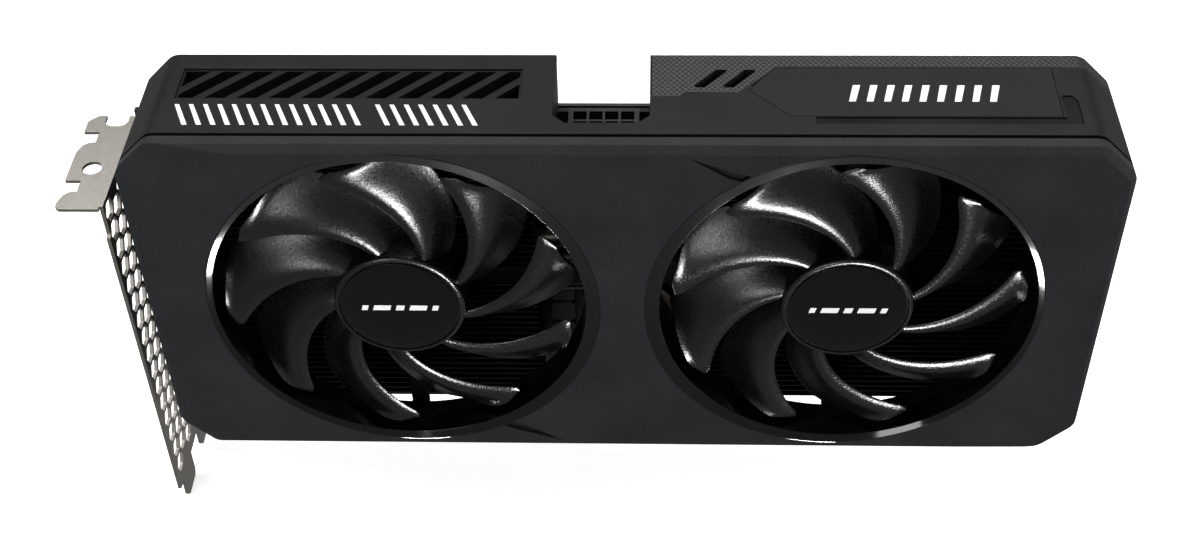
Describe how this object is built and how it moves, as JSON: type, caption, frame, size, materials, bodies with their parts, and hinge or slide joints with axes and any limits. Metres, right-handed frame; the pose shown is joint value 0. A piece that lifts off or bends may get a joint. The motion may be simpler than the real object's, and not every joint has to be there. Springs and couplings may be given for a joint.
{
  "type": "graphics card",
  "caption": "Desktop graphics card with a ducted axial-fan cooler, finned heat-pipe heatsink, vented top band, backplate and perforated mounting bracket.",
  "frame": {"origin": "outer face of the mounting bracket, on the circuit board's mid-plane, level with the bottom of the edge connector", "axes": "+X from the bracket to the far end, +Z from the edge connector up to the top band, fans face -Y"},
  "size_m": [0.2734, 0.0401, 0.1401],
  "materials": {
    "textured_faceplate": "fine spark-eroded texture",
    "smooth_shroud": "smooth satin moulding",
    "knurled_trim": "fine knurled texture",
    "inlay_panel": "fine matt",
    "dark_moulding": "satin moulding",
    "gloss_ring": "gloss black",
    "fan_blade": "satin-gloss black with fine sparkle",
    "hub_label": "smooth film label",
    "light_diffuser": "smoked diffuser, unlit",
    "bright_steel": "nickel plated, satin",
    "dark_steel": "black coated",
    "zinc_steel": "zinc plated",
    "fin_aluminium": "plain rolled sheet",
    "plated_copper": "nickel plated copper",
    "copper": "plain copper",
    "circuit_laminate": "black solder mask",
    "gold_contact": "gold plated",
    "chip_resin": "matt moulding compound",
    "silicon": "polished",
    "thermal_pad": "soft matt pad",
    "ferrite": "sintered",
    "can_metal": "satin can",
    "ceramic": "fired ceramic",
    "connector_resin": "semi-gloss moulding",
    "tin_pin": "tin plated",
    "cable_jacket": "matt sleeve",
    "led_package": "pale moulded package"
  },
  "bodies": {
    "card": {"backplate": "dark_steel", "backplate_screws": "dark_steel", "base_plate": "fin_aluminium", "bezel_ring_left": "gloss_ring", "bezel_ring_right": "gloss_ring", "board_chips": "chip_resin", "bracket_screws": "zinc_steel", "can_capacitors": "can_metal", "chip_capacitors": "ceramic", "chokes": "ferrite", "circuit_board": "circuit_laminate", "cold_plate": "plated_copper", "cooler_screws": "zinc_steel", "display_sockets": "zinc_steel", "edge_contacts": "gold_contact", "faceplate": "textured_faceplate", "fan_bearing_left": "copper", "fan_bearing_right": "copper", "fan_frame_left": "dark_moulding", "fan_frame_right": "dark_moulding", "fan_headers": "connector_resin", "fan_lead_left": "cable_jacket", "fan_lead_right": "cable_jacket", "fan_plugs": "connector_resin", "fan_screws": "zinc_steel", "fin_block_left": "fin_aluminium", "fin_block_right": "fin_aluminium", "gpu_die": "silicon", "gpu_package": "circuit_laminate", "hdmi_socket": "zinc_steel", "heat_pipes": "plated_copper", "io_bracket": "bright_steel", "led_board": "circuit_laminate", "leds": "led_package", "light_guide": "light_diffuser", "memory_chips": "chip_resin", "motor_board_left": "circuit_laminate", "motor_board_right": "circuit_laminate", "power_pins": "tin_pin", "power_socket": "connector_resin", "shroud": "smooth_shroud", "side_panel": "inlay_panel", "spring_bracket": "zinc_steel", "stator_coils_left": "copper", "stator_coils_right": "copper", "stator_core_left": "zinc_steel", "stator_core_right": "zinc_steel", "thermal_pads": "thermal_pad", "top_trim": "knurled_trim", "vent_grille": "dark_moulding"},
    "left_rotor": {"fan_rotor_left": "fan_blade", "hub_cap_left": "hub_label", "rotor_yoke_left": "zinc_steel", "rotor_magnet_left": "ferrite", "fan_shaft_left": "zinc_steel"},
    "right_rotor": {"fan_rotor_right": "fan_blade", "hub_cap_right": "hub_label", "rotor_yoke_right": "zinc_steel", "rotor_magnet_right": "ferrite", "fan_shaft_right": "zinc_steel"}
  },
  "joints": [
    {"name": "fan_left_spin", "type": "hinge", "parent": "card", "child": "left_rotor", "pos_m": [0.074, -0.0282, 0.0708], "axis": [0, -1, 0], "continuous": true},
    {"name": "fan_right_spin", "type": "hinge", "parent": "card", "child": "right_rotor", "pos_m": [0.194, -0.0282, 0.0708], "axis": [0, -1, 0], "continuous": true}
  ]
}
